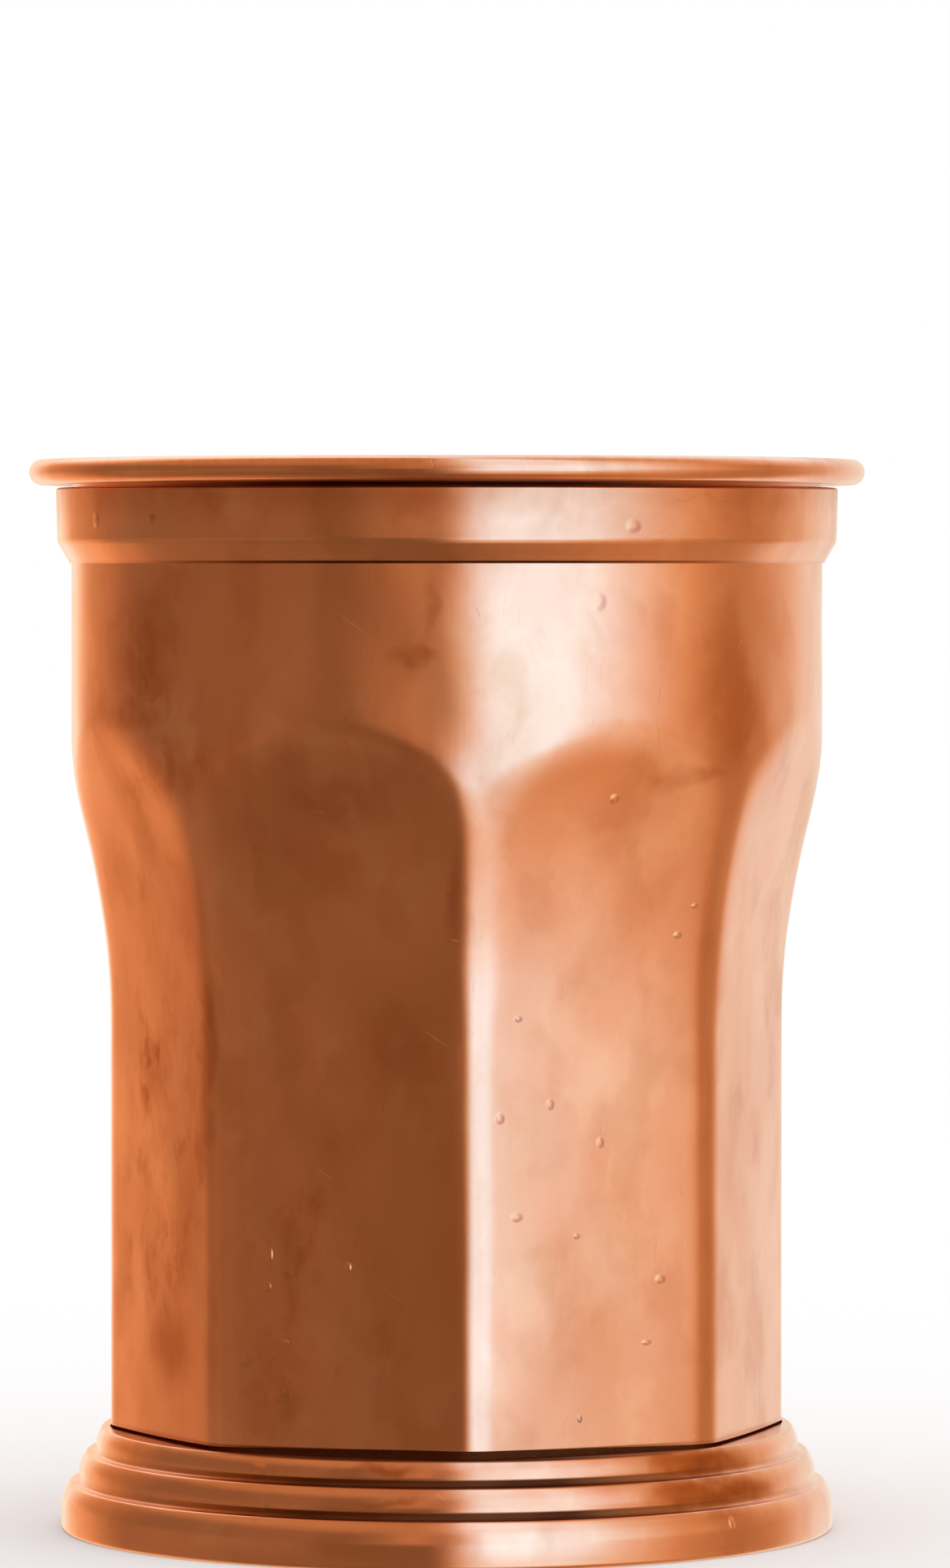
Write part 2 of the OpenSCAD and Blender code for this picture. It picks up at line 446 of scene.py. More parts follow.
def maths(tree, operation, *values):
    return add(tree, "ShaderNodeMath", dict(enumerate(values)),
               operation=operation).outputs[0]


def vectors(tree, operation, *values):
    return add(tree, "ShaderNodeVectorMath", dict(enumerate(values)),
               operation=operation).outputs[0]


def noise(tree, vector, scale, detail, rough, stretch=(1, 1, 1), move=(0, 0, 0)):
    """Noise of a scale per metre, stretched along the axes."""
    mapped = add(tree, "ShaderNodeMapping", {
        "Vector": vector, "Scale": [scale * s for s in stretch], "Location": move,
    })
    made = add(tree, "ShaderNodeTexNoise", {
        "Vector": mapped.outputs[0], "Scale": 1.0, "Detail": detail, "Roughness": rough,
    })
    return made.outputs[0]


def share(tree, value, start, end):
    """0 where value is at start, 1 at end, and an eased way between."""
    made = add(tree, "ShaderNodeMapRange", {
        "Value": value, "From Min": start, "From Max": end,
    }, interpolation_type="SMOOTHSTEP")
    return made.outputs[0]


def pattern(tree, vector, scale, detail, rough, stretch, move, start, end):
    """A mask of noise: 0 where the noise is at start, and 1 at end."""
    return share(tree, noise(tree, vector, scale, detail, rough, stretch, move), start, end)


def near(tree, value, centre, half, soft):
    """1 within half of centre, fading to 0 over soft."""
    off = maths(tree, "ABSOLUTE", maths(tree, "SUBTRACT", value, centre))
    return share(tree, off, half + soft, half)


def strongest(tree, masks):
    """The greatest of some masks, or None where there are none."""
    made = None
    for mask in masks:
        made = mask if made is None else maths(tree, "MAXIMUM", made, mask)
    return made


# Radius at which marks are laid out, and the value of a ball's gradient at which
# an oval reaches its full strength
SKIN_R = 38.0
OVAL_FULL = 0.8


def unrolled(tree, place):
    """Where a point lies on the skin, in millimetres round the cup, from -Y
    towards +X, and up."""
    split = add(tree, "ShaderNodeSeparateXYZ", {"Vector": place})
    back = maths(tree, "MULTIPLY", split.outputs[1], -1.0)
    turn = maths(tree, "ARCTAN2", split.outputs[0], back)
    across = maths(tree, "MULTIPLY", turn, SKIN_R)
    return across, maths(tree, "MULTIPLY", split.outputs[2], 1 / MM)


def oval(tree, point, turn, height, half_w, half_h, strength):
    x = math.radians(turn) * SKIN_R
    mapped = add(tree, "ShaderNodeMapping", {
        "Vector": point, "Scale": (1 / half_w, 1 / half_h, 0),
        "Location": (-x / half_w, -height / half_h, 0),
    })
    ball = add(tree, "ShaderNodeTexGradient", {"Vector": mapped.outputs[0]},
               gradient_type="SPHERICAL")
    return add(tree, "ShaderNodeMapRange", {
        "Value": ball.outputs["Fac"], "From Max": OVAL_FULL, "To Max": strength,
    }, interpolation_type="SMOOTHSTEP").outputs[0]


def ovals(tree, point, marks):
    """The strongest of some oval marks. Each has its degrees round the cup, its
    height, half its width and half its height in millimetres, and a strength."""
    return strongest(tree, [oval(tree, point, *mark) for mark in marks])


# Materials: copper
#
# Colours: the metal, old tarnish that also paints shade and dark reflections,
# rubbed metal, dirt that also paints shade in the corners, and reddened metal
TONE = (0.90, 0.310, 0.105)
STAIN_AND_SHADE = (0.42, 0.125, 0.038)
BARE = (0.97, 0.430, 0.190)
GRIME_AND_SHADE = (0.085, 0.020, 0.008)
FLUSH = (0.80, 0.200, 0.060)
COAT_IOR = 2.4
COAT_ROUGH = 0.15

# Stretch of the fine lines: drawn upright, or turned round the cup
UPRIGHT = (900, 900, 25)
ROUND = (25, 25, 1500)

# A noise strays the edges of the marks, in millimetres, and drifts the patterns,
# in metres
STRAY_NOISE = {"Scale": 200.0, "Detail": 2.0, "Roughness": 0.5}
STRAY = (4.5, 4.5, 0)
DRIFT = (0.004, 0.004, 0.004)

# Patterns: scale per metre, detail, roughness, stretch, move, and the values of
# the noise where the pattern starts and is full
BROAD = (60, 2, 0.5, (1, 1, 0.6), (0, 0, 0), 0.42, 0.68)
PATCH = (150, 3, 0.5, (1, 1, 0.6), (3, 1, 7), 0.46, 0.68)
BLOOM = (110, 3, 0.6, (1, 1, 0.7), (8, 4, 2), 0.48, 0.66)
FLECKS = (330, 3, 0.6, (1, 1, 0.55), (2, 6, 1), 0.46, 0.62)
CREASE_PATCHES = (32, 3, 0.6, (1, 1, 0.2), (0, 0, 0), 0.35, 0.62)
SCRATCH = (1, 1, 0.5, (2600, 2600, 70), (0, 0, 0), 0.765, 0.80)
SCRATCH_SLANT = (0.5, 0.9, 0.4)
HAIR_FINENESS = 1.6
HAIR_MOVE = (5, 9, 2)
HAIR_SPAN = (0.70, 0.76)
GRAIN = (1500, 2, 0.6)
LINES = (1, 4, 0.6)
LINES_RUBBED = (0.35, 0.6)
WAVE = (95, 1, 0.4)

# How strongly the patterns colour the metal
TARNISH = 0.16
BLOOM_LIGHT = 0.50
RUBBED_LIGHT = 0.5
GRAIN_TINT, SCRATCH_TINT, HAIR_TINT = 0.10, 0.5, 0.12

# Factor and offset by which one mask weakens another: stains with painted shade,
# and flushes, by bloom, flecks by patch, the corners' dirt and painted shade by
# patches and by its side of the cup, and the coat by age and painted shade, and by flush
STAIN_AND_SHADE_BY_BLOOM = (-0.3, 0.8)
FLUSH_BY_BLOOM = (-0.3, 1.0)
FLECKS_BY_PATCH = (0.6, 0.4)
DIRT_AND_SHADE_BY_PATCHES = (0.2, 0.8)
DIRT_AND_SHADE_BY_SIDE = (0.88, 0.12)
COAT_BY_AGE_AND_SHADE = (-1.5, 1.05)
COAT_BY_FLUSH = (-0.75, 1.0)
# Dirt and painted shade of this strength take the whole coat away
DIRT_AND_SHADE_DULL = 0.5

# Roughness that the masks add
LINES_ROUGH, AGED_AND_SHADED_ROUGH, SCRATCH_ROUGH, DIRT_AND_SHADE_ROUGH = 0.10, 0.08, 0.15, 0.3

# Relief: depth of the waves and of the fine marks in metres, and the parts of the
# fine marks
WAVE_DEPTH = 0.00022
FINE_DEPTH = 0.00002
LINES_RISE, GRAIN_RISE, CUTS_RISE, BEADS_RISE = 0.25, 0.12, -0.2, 6.5

# Softness of the edges of rubbed bands and of the corners' dirt and painted shade,
# and of the rubbed ridges, with the ridges' half width and the heights where they
# fade out and are whole
WORN_SOFT = 0.35
DIRT_AND_SHADE_SOFT = 0.25
RIDGE_HALF, RIDGE_SOFT = 0.2, 0.8
RIDGE_FADE = (76, 66)


def relief(tree, place, lines, grain, cuts, blisters):
    """The skin's normal, with soft waves and fine marks."""
    waves = add(tree, "ShaderNodeBump", {
        "Height": noise(tree, place, *WAVE), "Strength": 1.0, "Distance": WAVE_DEPTH,
    })
    fine = maths(tree, "MULTIPLY_ADD", lines, LINES_RISE, maths(
        tree, "MULTIPLY", grain, GRAIN_RISE))
    fine = maths(tree, "MULTIPLY_ADD", cuts, CUTS_RISE, fine)
    if blisters is not None:
        fine = maths(tree, "MULTIPLY_ADD", blisters, BEADS_RISE, fine)
    return add(tree, "ShaderNodeBump", {
        "Height": fine, "Strength": 1.0, "Distance": FINE_DEPTH,
        "Normal": waves.outputs[0],
    }).outputs[0]


def rubbed_edges(tree, across, up, lines, ridges, worn):
    """Edges that hands and cloths rub bright, or None."""
    masks = []
    if ridges:
        edge = maths(tree, "PINGPONG", across, SKIN_R * math.pi / FLUTES)
        masks.append(maths(tree, "MULTIPLY", near(tree, edge, 0, RIDGE_HALF, RIDGE_SOFT),
                           share(tree, up, *RIDGE_FADE)))
    masks += [near(tree, up, height, half, WORN_SOFT) for height, half in worn]
    rubbed = strongest(tree, masks)
    if rubbed is None:
        return None
    return maths(tree, "MULTIPLY", rubbed, share(tree, lines, *LINES_RUBBED))


def crease_dirt_and_shade(tree, place, up, skin, creases):
    """Dirt and painted shade in the corners, or None."""
    dirt_and_shade = strongest(tree, [near(tree, up, height, half, DIRT_AND_SHADE_SOFT)
                            for height, half in creases])
    if dirt_and_shade is None:
        return None
    for mask, weaker in ((pattern(tree, place, *CREASE_PATCHES), DIRT_AND_SHADE_BY_PATCHES),
                         (ovals(tree, skin, DIRTY_AND_SHADED_SIDES), DIRT_AND_SHADE_BY_SIDE)):
        dirt_and_shade = maths(tree, "MULTIPLY", dirt_and_shade, maths(tree, "MULTIPLY_ADD", mask, *weaker))
    return dirt_and_shade


def copper(name, tone, brush, roughness=0.2, creases=(), stains_and_shade=(), mottled=(),
           bright=(), flushed=(), beads=(), ridges=False, worn=()):
    """Worn copper, with painted shade and dark reflections among its marks. brush is
    the stretch of its fine lines: long where small. creases and worn are heights
    with their half widths, for dirt and painted shade in the corners and for edges
    rubbed bright. The other marks are ovals."""
    material, tree = node_tree(name)
    place = add(tree, "ShaderNodeTexCoord").outputs["Object"]
    across, up = unrolled(tree, place)
    skin = add(tree, "ShaderNodeCombineXYZ", {"X": across, "Y": up}).outputs[0]
    stray = add(tree, "ShaderNodeTexNoise", {"Vector": place, **STRAY_NOISE})
    stray = vectors(tree, "SUBTRACT", stray.outputs["Color"], (0.5, 0.5, 0.5))
    strayed = vectors(tree, "MULTIPLY_ADD", stray, STRAY, skin)
    drift = vectors(tree, "MULTIPLY_ADD", stray, DRIFT, place)

    broad = pattern(tree, drift, *BROAD)
    patch = pattern(tree, drift, *PATCH)
    bloom = pattern(tree, drift, *BLOOM)
    grain = noise(tree, place, *GRAIN)
    lines = noise(tree, place, *LINES, brush)
    hair = pattern(tree, drift, 1, 1, 0.5, [b * HAIR_FINENESS for b in brush],
                   HAIR_MOVE, *HAIR_SPAN)
    slant = add(tree, "ShaderNodeMapping", {"Vector": place, "Rotation": SCRATCH_SLANT})
    scratch = pattern(tree, slant.outputs[0], *SCRATCH)

    aged_and_shaded = maths(tree, "MULTIPLY_ADD", broad, TARNISH, maths(
        tree, "MULTIPLY", patch, TARNISH))
    # Stains: tarnish, and also painted shade and painted dark reflections
    if stains_and_shade:
        uneven = maths(tree, "MULTIPLY_ADD", bloom, *STAIN_AND_SHADE_BY_BLOOM)
        aged_and_shaded = maths(tree, "MULTIPLY_ADD", ovals(tree, strayed, stains_and_shade), uneven, aged_and_shaded)
    if mottled:
        flecks = maths(tree, "MULTIPLY", pattern(tree, drift, *FLECKS), maths(
            tree, "MULTIPLY_ADD", patch, *FLECKS_BY_PATCH))
        aged_and_shaded = maths(tree, "MULTIPLY_ADD", ovals(tree, skin, mottled), flecks, aged_and_shaded)
    light = maths(tree, "MULTIPLY", bloom, BLOOM_LIGHT)
    if bright:
        light = maths(tree, "MAXIMUM", light, maths(
            tree, "MULTIPLY", ovals(tree, strayed, bright), bloom))
    rubbed = rubbed_edges(tree, across, up, lines, ridges, worn)
    if rubbed is not None:
        light = maths(tree, "MAXIMUM", light, maths(
            tree, "MULTIPLY", rubbed, RUBBED_LIGHT))

    colour = mix(tree, light, tone, BARE)
    colour = mix(tree, aged_and_shaded, colour, STAIN_AND_SHADE)
    for mask, strength, other in ((grain, GRAIN_TINT, STAIN_AND_SHADE), (scratch, SCRATCH_TINT, BARE),
                                  (hair, HAIR_TINT, STAIN_AND_SHADE)):
        colour = mix(tree, maths(tree, "MULTIPLY", mask, strength), colour, other)
    factor, offset = COAT_BY_AGE_AND_SHADE
    coat = add(tree, "ShaderNodeMath", {0: aged_and_shaded, 1: factor, 2: offset},
               operation="MULTIPLY_ADD", use_clamp=True).outputs[0]
    if flushed:
        flush = maths(tree, "MULTIPLY", ovals(tree, strayed, flushed), maths(
            tree, "MULTIPLY_ADD", bloom, *FLUSH_BY_BLOOM))
        colour = mix(tree, flush, colour, FLUSH)
        coat = maths(tree, "MULTIPLY", coat, maths(
            tree, "MULTIPLY_ADD", flush, *COAT_BY_FLUSH))
    rough = maths(tree, "MULTIPLY_ADD", lines, LINES_ROUGH, roughness - LINES_ROUGH / 2)
    rough = maths(tree, "MULTIPLY_ADD", aged_and_shaded, AGED_AND_SHADED_ROUGH, rough)
    rough = maths(tree, "MULTIPLY_ADD", scratch, SCRATCH_ROUGH, rough)
    # Corners darkened: dirt, and painted shade where the creases lie in shadow
    dirt_and_shade = crease_dirt_and_shade(tree, place, up, skin, creases)
    if dirt_and_shade is not None:
        colour = mix(tree, dirt_and_shade, colour, GRIME_AND_SHADE)
        coat = maths(tree, "MULTIPLY", coat, share(tree, dirt_and_shade, DIRT_AND_SHADE_DULL, 0.0))
        rough = maths(tree, "MULTIPLY_ADD", dirt_and_shade, DIRT_AND_SHADE_ROUGH, rough)

    cuts = maths(tree, "ADD", scratch, hair)
    blisters = ovals(tree, skin, beads)
    shader = add(tree, "ShaderNodeBsdfPrincipled", {
        "Base Color": colour, "Roughness": rough, "Metallic": 1.0,
        "Coat Weight": coat, "Coat IOR": COAT_IOR, "Coat Roughness": COAT_ROUGH,
        "Normal": relief(tree, place, lines, grain, cuts, blisters),
    })
    add(tree, "ShaderNodeOutputMaterial", {"Surface": shader.outputs[0]})
    return material


# Marks: degrees round, height, half width, half height, strength
#
# Sides of the cup where the corners are darkest, with dirt and painted shade, as ovals of
# any height
DIRTY_AND_SHADED_SIDES = [
    (-4.0, 60.0, 40.0, 400.0, 1.15), (135.0, 60.0, 30.0, 400.0, 0.8),
    (-140.0, 60.0, 30.0, 400.0, 0.8),
]
# Darker patches on the body, partly tarnish and partly painted dark reflections
BODY_STAINS_AND_DARK_REFLECTIONS = [
    (-57.0, 93.9, 9.0, 8.4, 0.50), (-60.0, 87.1, 7.5, 3.6, 0.40),
    (-50.2, 80.8, 10.5, 5.0, 0.40), (43.4, 88.6, 7.2, 13.0, 0.54),
    (36.3, 80.8, 7.5, 1.9, 0.55), (-8.9, 93.3, 3.8, 1.3, 0.50),
    (-6.4, 98.6, 1.2, 4.2, 0.45), (-20.6, 78.7, 7.0, 4.4, 0.35),
    (-70.4, 49.1, 6.0, 4.6, 0.30), (-55.0, 33.0, 5.0, 6.0, 0.25),
    (-62.5, 20.9, 8.0, 7.2, 0.45), (-48.4, 52.0, 2.6, 16.0, 0.40),
    (-12.8, 54.3, 4.5, 5.8, 0.35), (-2.4, 68.9, 1.9, 6.4, 0.45),
    (112.0, 70.0, 7.0, 9.0, 0.60), (150.0, 38.0, 9.0, 6.0, 0.55),
    (-118.0, 84.0, 6.0, 10.0, 0.60), (-152.0, 27.0, 7.0, 5.0, 0.60),
    (172.0, 90.0, 9.0, 5.0, 0.50),
]
BODY_MOTTLED = [
    (-66.0, 44.0, 17.0, 36.0, 0.36), (-58.0, 84.0, 14.0, 14.0, 0.24),
    (-30.0, 30.0, 14.0, 26.0, 0.20), (70.0, 50.0, 12.0, 40.0, 0.10),
    (135.0, 45.0, 24.0, 36.0, 0.30), (-135.0, 60.0, 26.0, 40.0, 0.28),
    (178.0, 50.0, 18.0, 40.0, 0.24),
]
BODY_BRIGHT = [
    (-29.8, 39.0, 5.0, 3.6, 0.9), (-28.7, 14.9, 3.6, 1.8, 0.8),
    (-36.2, 59.6, 5.0, 3.2, 0.7), (-6.5, 16.4, 3.2, 2.4, 0.6),
    (128.0, 30.0, 6.0, 5.0, 0.8), (-140.0, 60.0, 6.0, 5.0, 0.8),
]
# Small blisters in the skin, as ovals too
BODY_BEADS = [
    (18.9, 99.0, 0.9, 1.2, 1), (23.1, 78.7, 0.65, 0.6, 1), (40.4, 67.4, 0.5, 0.35, 1),
    (37.8, 64.4, 0.6, 0.45, 1), (8.1, 56.1, 0.55, 0.4, 1), (14.0, 47.2, 0.6, 0.7, 1),
    (4.8, 45.9, 0.65, 0.7, 1), (23.7, 43.1, 0.6, 0.7, 1), (7.8, 35.7, 0.85, 0.6, 1),
    (19.1, 33.5, 0.5, 0.35, 1), (35.5, 28.7, 0.8, 0.6, 1), (32.9, 22.2, 0.7, 0.35, 1),
    (19.7, 14.6, 0.4, 0.45, 1), (-36.1, 28.2, 0.55, 0.7, 1), (-35.7, 31.5, 0.4, 1, 1),
    (-33.0, 22.4, 0.7, 0.4, 1), (-40.3, 20.5, 1.1, 1, 1), (-34.1, 17.1, 1.2, 1.2, 1),
    (-21.4, 30.4, 0.5, 0.65, 1), (140.0, 52.0, 0.7, 0.7, 1), (-125.0, 34.0, 0.8, 1, 1),
]
# On the collar, two stains, and a broad darkening all round the top, which is painted shade
# under the rolled rim
COLLAR_STAINS_AND_SHADE = [
    (28.0, 107.0, 18.0, 6.0, 0.22), (-51.0, 107.6, 0.9, 0.6, 0.5),
    (-60.0, 111.0, 50.0, 4.5, 0.34), (-5.0, 111.0, 30.0, 4.5, 0.34),
    (35.0, 111.0, 40.0, 4.5, 0.30), (100.0, 111.0, 50.0, 4.5, 0.34),
    (165.0, 111.0, 45.0, 4.5, 0.34), (-135.0, 111.0, 50.0, 4.5, 0.34),
]
COLLAR_BEADS = [(23.3, 106.7, 0.95, 0.85, 1), (-65.7, 107.4, 0.8, 1, 1)]
FOOT_BEADS = [
    (-35.4, 9.3, 1.3, 1.2, 1), (-33.2, 5.7, 1.3, 1.3, 1), (42.0, 3.5, 0.5, 0.85, 1),
]
# Darker patches on the foot's steps, partly tarnish and partly painted dark reflections
FOOT_STAINS_AND_DARK_REFLECTIONS = [
    (36.0, 9.6, 8.5, 2.6, 0.90), (44.0, 9.6, 8.5, 2.6, 0.95),
    (36.0, 6.4, 8.5, 2.6, 1.00), (45.0, 6.4, 9.0, 2.6, 1.00),
    (-13.6, 9.8, 5.0, 0.7, 0.60), (-13.6, 6.8, 5.0, 0.7, 0.60),
    (140.0, 8.0, 12.0, 3.0, 0.60), (-130.0, 5.0, 10.0, 3.0, 0.60),
]
FOOT_FLUSHED = [
    (16.0, 9.7, 13.0, 3.0, 0.4), (16.0, 6.6, 13.0, 2.6, 0.4), (168.0, 6.0, 12.0, 4.0, 0.6),
]

# Creases here darken with dirt and painted shade: where the wall stands on the foot, under
# the rolled rim, at the collar's edges and in the foot's grooves
body_copper = copper(
    "body_copper", TONE, UPRIGHT, creases=[(11.3, 0.2), (111.1, 0.1)],
    stains_and_shade=BODY_STAINS_AND_DARK_REFLECTIONS, mottled=BODY_MOTTLED, bright=BODY_BRIGHT, beads=BODY_BEADS,
    ridges=True, worn=[(113.6, 0.3)],
)
# The inside's tone is paler than the outside's: turned copper, and painted light for an
# inside that the cards light only dimly
inside_copper = copper("inside_copper", (0.96, 0.58, 0.38), ROUND, 0.34)
collar_copper = copper(
    "collar_copper", (0.93, 0.345, 0.138), ROUND,
    creases=[(103.0, 0.05), (111.0, 0.1)], stains_and_shade=COLLAR_STAINS_AND_SHADE, beads=COLLAR_BEADS,
    worn=[(105.2, 0.2)],
)
foot_copper = copper(
    "foot_copper", TONE, ROUND, 0.15,
    creases=[(10.95, 0.1), (8.55, 0.28), (5.4, 0.28)], stains_and_shade=FOOT_STAINS_AND_DARK_REFLECTIONS,
    flushed=FOOT_FLUSHED, beads=FOOT_BEADS,
    worn=[(7.8, 0.15), (4.6, 0.15), (10.6, 0.1), (0.5, 0.2)],
)
base_copper = copper("base_copper", (0.85, 0.31, 0.13), ROUND, 0.3)
wire_copper = copper("wire_copper", (0.85, 0.30, 0.12), ROUND, 0.3)


# Materials: solder
LUMPS = (700, 3, 0.5)
LUMP_SHADE = 0.6
LUMP_STRENGTH = 0.4
LUMP_DEPTH = 0.0003


def solder(name, tone, roughness, edge=(1, 1, 1)):
    """Dull tin with a lumpy skin. edge tints what it mirrors at a low angle."""
    material, tree = node_tree(name)
    place = add(tree, "ShaderNodeTexCoord").outputs["Object"]
    lump = noise(tree, place, *LUMPS)
    colour = mix(tree, lump, tone, [LUMP_SHADE * t for t in tone])
    bump = add(tree, "ShaderNodeBump", {
        "Height": lump, "Strength": LUMP_STRENGTH, "Distance": LUMP_DEPTH,
    })
    shader = add(tree, "ShaderNodeBsdfPrincipled", {
        "Base Color": colour, "Roughness": roughness, "Metallic": 1.0,
        "Specular Tint": (*edge, 1), "Normal": bump.outputs[0],
    })
    add(tree, "ShaderNodeOutputMaterial", {"Surface": shader.outputs[0]})
    return material


floor_solder = solder("solder", (0.55, 0.52, 0.48), 0.4)
# Near black: dark solder, and painted shade of the gap where the wall stands on the foot
seam_solder = solder("seam_solder", (0.090, 0.022, 0.007), 0.5, (0.30, 0.10, 0.04))


def dress(piece, *materials):
    piece.data.materials.clear()
    for material in materials:
        piece.data.materials.append(material)


# The wall's outside and lip have one copper, and its inside the other. The last
# ring of faces, on which the wall stands, counts as outside.
dress(wall, body_copper, inside_copper)
first_inside = (outside_rows + lip_rows) * len(TURNS)
side = np.zeros(len(wall.data.polygons), np.int32)
side[first_inside:-len(TURNS)] = 1
wall.data.polygons.foreach_set("material_index", side)
dress(collar, collar_copper)
dress(foot, foot_copper)
dress(fillet, seam_solder)
dress(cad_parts["rim_wire"], wire_copper)
dress(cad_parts["cup_floor"], inside_copper)
dress(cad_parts["base_disc"], base_copper)
dress(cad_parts["floor_solder"], floor_solder)


# Studio: colours of the cards
def glowing(name, build):
    """An emission material whose colour build(tree, place) gives."""
    material, tree = node_tree(name)
    place = add(tree, "ShaderNodeTexCoord").outputs["Object"]
    glow = add(tree, "ShaderNodeEmission", {"Color": build(tree, place)})
    add(tree, "ShaderNodeOutputMaterial", {"Surface": glow.outputs[0]})
    return material


def bearing(tree, place):
    """Angle round the cup from the photograph's side of it, 0 to 1 for -180 to
    180 degrees, positive to the photograph's right."""
    split = add(tree, "ShaderNodeSeparateXYZ", {"Vector": place})
    back = maths(tree, "MULTIPLY", split.outputs[1], -1.0)
    turn = maths(tree, "ARCTAN2", split.outputs[0], back)
    turn = maths(tree, "SUBTRACT", turn, CAMERA_AZIMUTH)
    return maths(tree, "MULTIPLY_ADD", turn, 1 / (2 * math.pi), 0.5)


# Colour that a card has to glow with for the copper to show a level, where a
# level is the green of the copper's own scale from brown to near white. All but
# the last are colours of the photograph's copper, divided by what the material
# reflects and then changed a little.
LEVELS = [62, 78, 98, 121, 130, 150, 168, 180, 193, 215, 224, 240]
GLOWS = [
    (0.205, 0.119, 0.051), (0.314, 0.189, 0.103), (0.528, 0.303, 0.150),
    (0.790, 0.475, 0.249), (0.860, 0.555, 0.300), (0.930, 0.759, 0.593),
    (0.980, 0.975, 0.913), (1.020, 1.134, 1.220), (1.060, 1.326, 1.550),
    (1.110, 1.690, 2.320), (1.150, 1.853, 2.620), (1.200, 2.150, 3.260),
]

# Levels by bearing in degrees: on the studio wall above and low down, on the
# table far from the cup, close to it and under it, and on the ceiling. They were
# written from readings of the photograph's green at the bearings that the copper
# mirrors, and then corrected.
WALL_HIGH = [
    (-180, 150), (-165, 158), (-157, 165), (-149, 146), (-141, 114), (-131, 98),
    (-117, 86), (-101, 77), (-41, 80), (-37, 73), (-29, 73), (-22, 83),
    (-12, 99), (-7, 106), (-3, 88), (0, 100), (4, 136), (8, 199), (12, 220),
    (28, 230), (37, 224), (45, 211), (52, 195), (60, 170), (68, 148), (76, 130),
    (86, 110), (96, 100), (106, 108), (124, 143), (136, 158), (180, 150),
]
WALL_LOW = [
    (-180, 150), (-165, 162), (-157, 170), (-146, 138), (-135, 123), (-122, 96),
    (-110, 84), (-44, 83), (-40, 77), (-35, 69), (-4, 66), (0, 100), (4, 160),
    (8, 212), (12, 228), (28, 232), (38, 226), (44, 198), (49, 178), (54, 162),
    (61, 146), (68, 133), (80, 104), (100, 98), (112, 110), (124, 145),
    (136, 162), (144, 160), (150, 156), (164, 158), (180, 150),
]
TABLE_FAR = [
    (-180, 150), (-157, 150), (-146, 135), (-135, 124), (-122, 100), (-110, 84),
    (-61, 78), (-44, 78), (-4, 70), (0, 90), (4, 140), (8, 178), (14, 192),
    (30, 190), (38, 180), (45, 160), (53, 150), (60, 140), (75, 112), (90, 98),
    (112, 104), (124, 148), (138, 166), (150, 162), (180, 150),
]
TABLE_NEAR = [
    (-180, 150), (-157, 150), (-146, 135), (-135, 124), (-122, 108), (-110, 84),
    (-61, 74), (-44, 70), (-4, 66), (2, 100), (8, 142), (20, 152), (34, 150),
    (41, 130), (45, 122), (70, 114), (90, 100), (112, 104), (124, 150), (138, 168),
    (150, 160), (180, 150),
]
TABLE_UNDER = [
    (-180, 150), (-157, 148), (-136, 124), (-119, 121), (-104, 110), (-83, 90),
    (-60, 80), (-35, 74), (0, 68), (11, 82), (35, 90), (60, 98), (89, 114),
    (100, 106), (112, 104), (124, 148), (138, 165), (150, 158), (180, 150),
]
CEILING = [
    (-180, 190), (-150, 200), (-128, 145), (-108, 102), (-20, 98), (-8, 100), (0, 120),
    (6, 185), (14, 212), (45, 205), (62, 160), (90, 118), (120, 145), (150, 185),
    (180, 190),
]

# How much redder the cards are behind the cup on the left, by bearing
WARM_BEARINGS = [-180, -165, -125, -105]
WARMTH = [0.6, 1.0, 1.0, 0.0]
WARM_TINT = (0.22, 0.0, -0.16)

# Where one row of levels runs into the next: heights on the wall, and distances
# from the axis on the table, in metres
FAR_TO_LOW = (-0.13, -0.05)
LOW_TO_HIGH = (0.015, 0.08)
HIGH_TO_CEILING = (0.3, 0.5)
UNDER_TO_NEAR = (0.22, 0.30)
NEAR_TO_FAR = (0.35, 0.56)


def glow_of(level):
    return tuple(np.interp(level, LEVELS, channel) for channel in zip(*GLOWS))


def around(tree, place, *rows):
    """Each row of levels by bearing, as the colour of a ramp round the cup."""
    turn = bearing(tree, place)
    colours = []
    for levels in rows:
        stops = []
        for degrees, level in levels:
            warmth = np.interp(degrees, WARM_BEARINGS, WARMTH)
            colour = [c * (1 + warmth * t) for c, t in zip(glow_of(level), WARM_TINT)]
            stops.append(((degrees + 180) / 360, colour))
        colours.append(ramp(tree, turn, stops))
    return colours


def blend(tree, value, span, first, second):
    """Colour first where value is below the span, and second where it is above."""
    start, end = span
    passed = add(tree, "ShaderNodeMapRange", {
        "Value": value, "From Min": start, "From Max": end,
    })
    return mix(tree, passed.outputs[0], first, second)


def wall_colour(tree, place):
    height = add(tree, "ShaderNodeSeparateXYZ", {"Vector": place}).outputs[2]
    far, low, high, ceiling = around(tree, place, TABLE_FAR, WALL_LOW, WALL_HIGH, CEILING)
    colour = blend(tree, height, FAR_TO_LOW, far, low)
    colour = blend(tree, height, LOW_TO_HIGH, colour, high)
    return blend(tree, height, HIGH_TO_CEILING, colour, ceiling)


def table_colour(tree, place):
    level = vectors(tree, "MULTIPLY", place, (1, 1, 0))
    out = add(tree, "ShaderNodeVectorMath", {0: level},
              operation="LENGTH").outputs["Value"]
    under, close, far = around(tree, place, TABLE_UNDER, TABLE_NEAR, TABLE_FAR)
    colour = blend(tree, out, UNDER_TO_NEAR, under, close)
    return blend(tree, out, NEAR_TO_FAR, colour, far)


def ceiling_colour(tree, place):
    return around(tree, place, CEILING)[0]


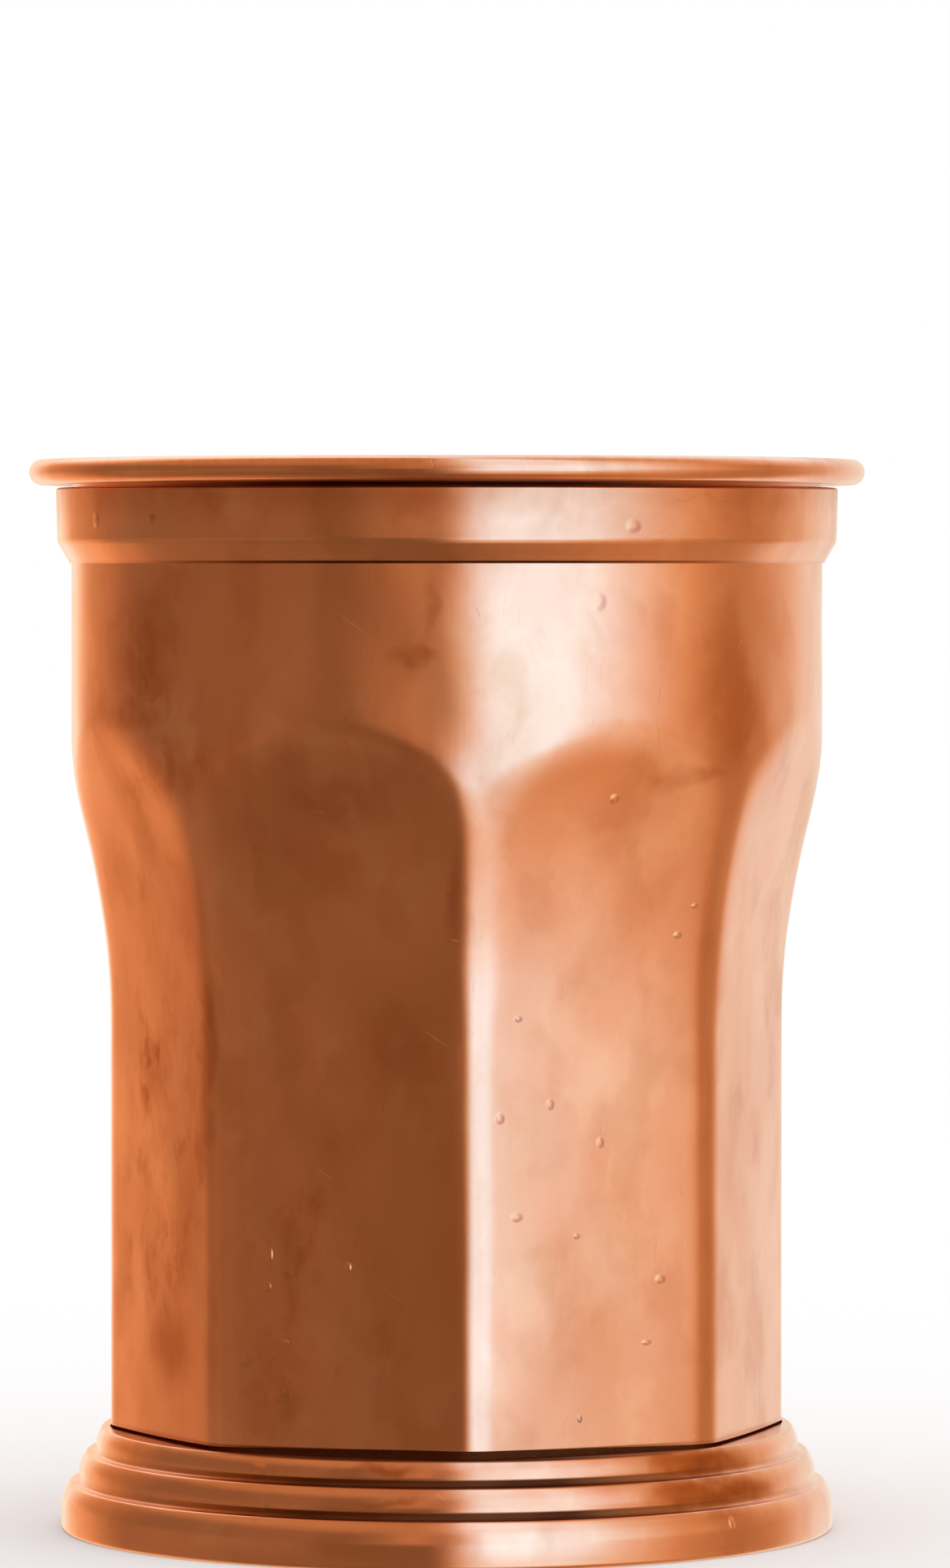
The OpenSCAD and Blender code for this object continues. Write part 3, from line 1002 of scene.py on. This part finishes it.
# Studio: cards, floor and lights
#
# The cards stand round the cup and lie under and over it, out of the camera's
# sight, and only the metal mirrors them. The one below lies lower than the floor,
# as the table in the photograph would lie under a cup that stands on a block.
STUDIO_R = 0.6
STUDIO_LOW = -0.15
STUDIO_HIGH = 0.8
CARD_SIDES = 96
FLOOR_SIZE = 12
FLOOR_WHITE = (0.98, 0.98, 0.98, 1)
LAMP_ENERGY = 0.1
LAMP_ANGLE = math.radians(60)
LAMP_TURN = (math.radians(25), math.radians(20), 0)


def make_prop(name, points, faces):
    """Part of the studio, which doesn't belong to the object."""
    mesh = bpy.data.meshes.new(name)
    mesh.from_pydata(points, [], faces)
    prop = put(name, mesh)
    return prop


def circle(z):
    turns = [2 * math.pi * i / CARD_SIDES for i in range(CARD_SIDES)]
    return [(STUDIO_R * math.cos(t), STUDIO_R * math.sin(t), z) for t in turns]


def make_card(name, points, faces, colour):
    card = make_prop(name, points, faces)
    dress(card, glowing(name, colour))
    card.visible_camera = False
    card.visible_diffuse = False
    card.visible_shadow = False
    card.visible_transmission = False
    card.visible_volume_scatter = False


sides = [(i, (i + 1) % CARD_SIDES, CARD_SIDES + (i + 1) % CARD_SIDES, CARD_SIDES + i)
         for i in range(CARD_SIDES)]
disc = [tuple(range(CARD_SIDES))]
make_card("studio_wall", circle(STUDIO_LOW) + circle(STUDIO_HIGH), sides, wall_colour)
make_card("table_card", circle(STUDIO_LOW), disc, table_colour)
make_card("ceiling_card", circle(STUDIO_HIGH), disc, ceiling_colour)

half = FLOOR_SIZE / 2
floor = make_prop("floor", [(-half, -half, 0), (half, -half, 0), (half, half, 0),
                            (-half, half, 0)], [(0, 1, 2, 3)])
pale, tree = node_tree("pale_floor")
shader = add(tree, "ShaderNodeBsdfDiffuse", {"Color": FLOOR_WHITE})
add(tree, "ShaderNodeOutputMaterial", {"Surface": shader.outputs[0]})
dress(floor, pale)
floor.visible_glossy = False

lamp_data = bpy.data.lights.new("top_lamp", "SUN")
lamp_data.energy = LAMP_ENERGY
lamp_data.angle = LAMP_ANGLE
lamp = put("top_lamp", lamp_data)
lamp.rotation_euler = LAMP_TURN
lamp.visible_glossy = False

world = bpy.data.worlds.new("studio")
world.use_nodes = True
bpy.context.scene.world = world
world.node_tree.nodes.clear()
background = add(world.node_tree, "ShaderNodeBackground", {
    "Color": (1, 1, 1, 1), "Strength": 1.0,
})
add(world.node_tree, "ShaderNodeOutputWorld", {"Surface": background.outputs[0]})
